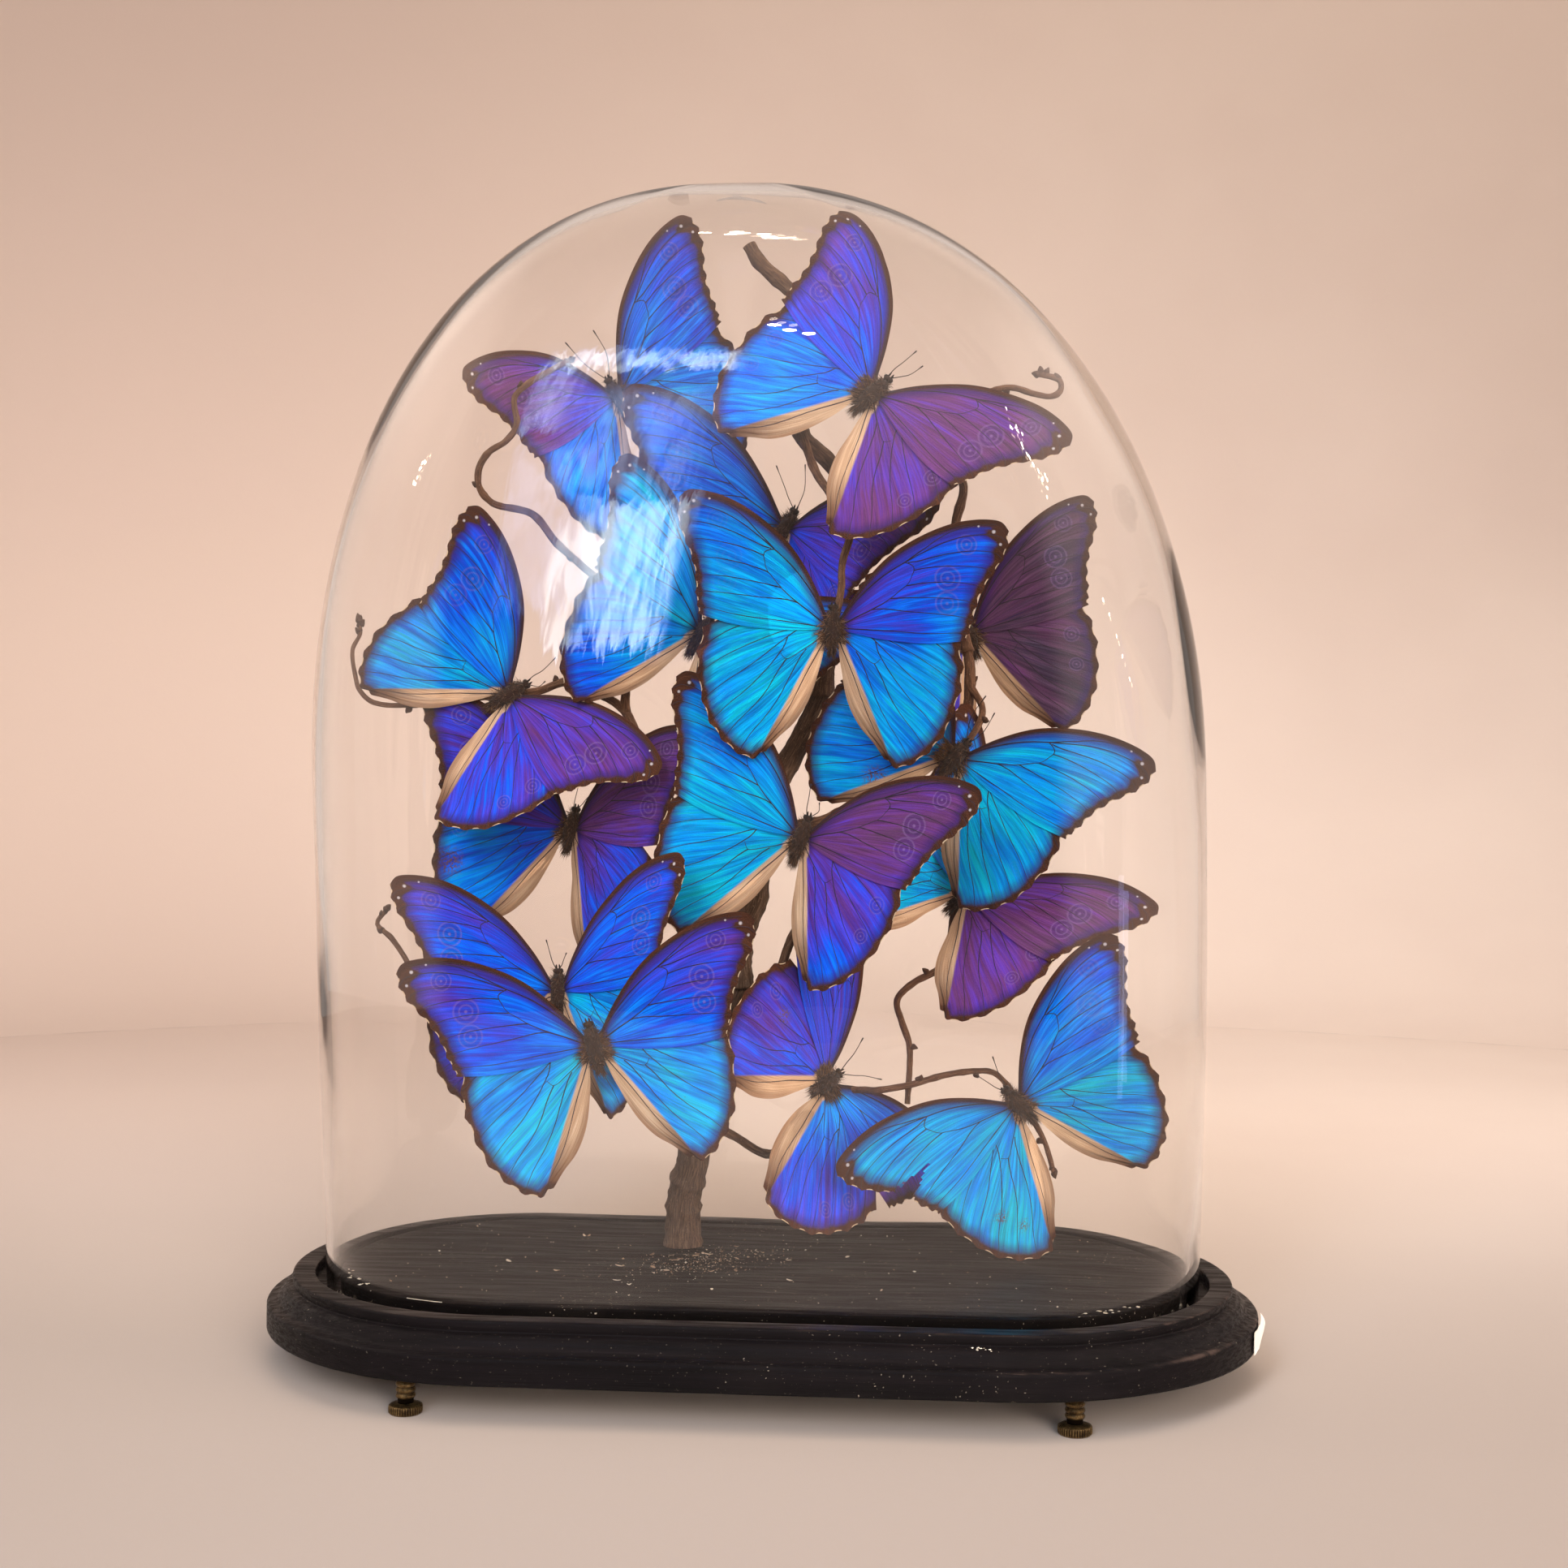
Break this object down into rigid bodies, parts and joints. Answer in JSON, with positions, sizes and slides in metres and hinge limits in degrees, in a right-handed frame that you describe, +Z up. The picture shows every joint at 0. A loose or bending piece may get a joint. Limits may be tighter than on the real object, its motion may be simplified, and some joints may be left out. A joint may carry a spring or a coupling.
{
  "type": "insect in glass dome",
  "caption": "Oval glass dome on a black moulded wooden base with small turned feet, showing blue butterflies mounted on a contorted branch.",
  "frame": {"origin": "middle of the whole on the surface that the feet stand on", "axes": "+X along the long side to the right of the display's front, +Y to the back, +Z up"},
  "size_m": [0.4152, 0.216, 0.491],
  "materials": {
    "ebonised_wood": "satin black, worn at the edges",
    "dome_glass": "clear, faintly warm, softly wavy",
    "foot_brass": "dark aged brass",
    "label_paper": "matte",
    "bark": "rough brown bark",
    "butterfly_wing": "iridescent blue scales with a dark brown border",
    "butterfly_body": "matte dark hair",
    "debris": "matte dust and crumbs"
  },
  "bodies": {
    "root": {"plinth": "ebonised_wood", "platform": "ebonised_wood", "dome": "dome_glass", "foot_disc_front_left": "foot_brass", "foot_collar_front_left": "foot_brass", "foot_disc_front_right": "foot_brass", "foot_collar_front_right": "foot_brass", "foot_disc_back_left": "foot_brass", "foot_collar_back_left": "foot_brass", "foot_disc_back_right": "foot_brass", "foot_collar_back_right": "foot_brass", "label": "label_paper", "trunk": "bark", "stem_low": "bark", "stem_high": "bark", "limb_right": "bark", "limb_upper_right": "bark", "limb_left": "bark", "limb_low_right": "bark", "limb_low_left": "bark", "twig_crown": "bark", "twig_left": "bark", "twig_upper_left": "bark", "twig_bottom": "bark", "twig_shelf": "bark", "twig_hook": "bark", "twig_low_left": "bark", "twig_02": "bark", "twig_03": "bark", "twig_04": "bark", "twig_06": "bark", "twig_07": "bark", "twig_08": "bark", "twig_09": "bark", "twig_10": "bark", "twig_12": "bark", "butterfly_01": "butterfly_wing", "butterfly_02": "butterfly_wing", "butterfly_03": "butterfly_wing", "butterfly_04": "butterfly_wing", "butterfly_05": "butterfly_wing", "butterfly_06": "butterfly_wing", "butterfly_07": "butterfly_wing", "butterfly_08": "butterfly_wing", "butterfly_09": "butterfly_wing", "butterfly_10": "butterfly_wing", "butterfly_11": "butterfly_wing", "butterfly_12": "butterfly_wing", "butterfly_13": "butterfly_wing", "butterfly_14": "butterfly_wing", "butterfly_15": "butterfly_wing"}
  },
  "joints": []
}
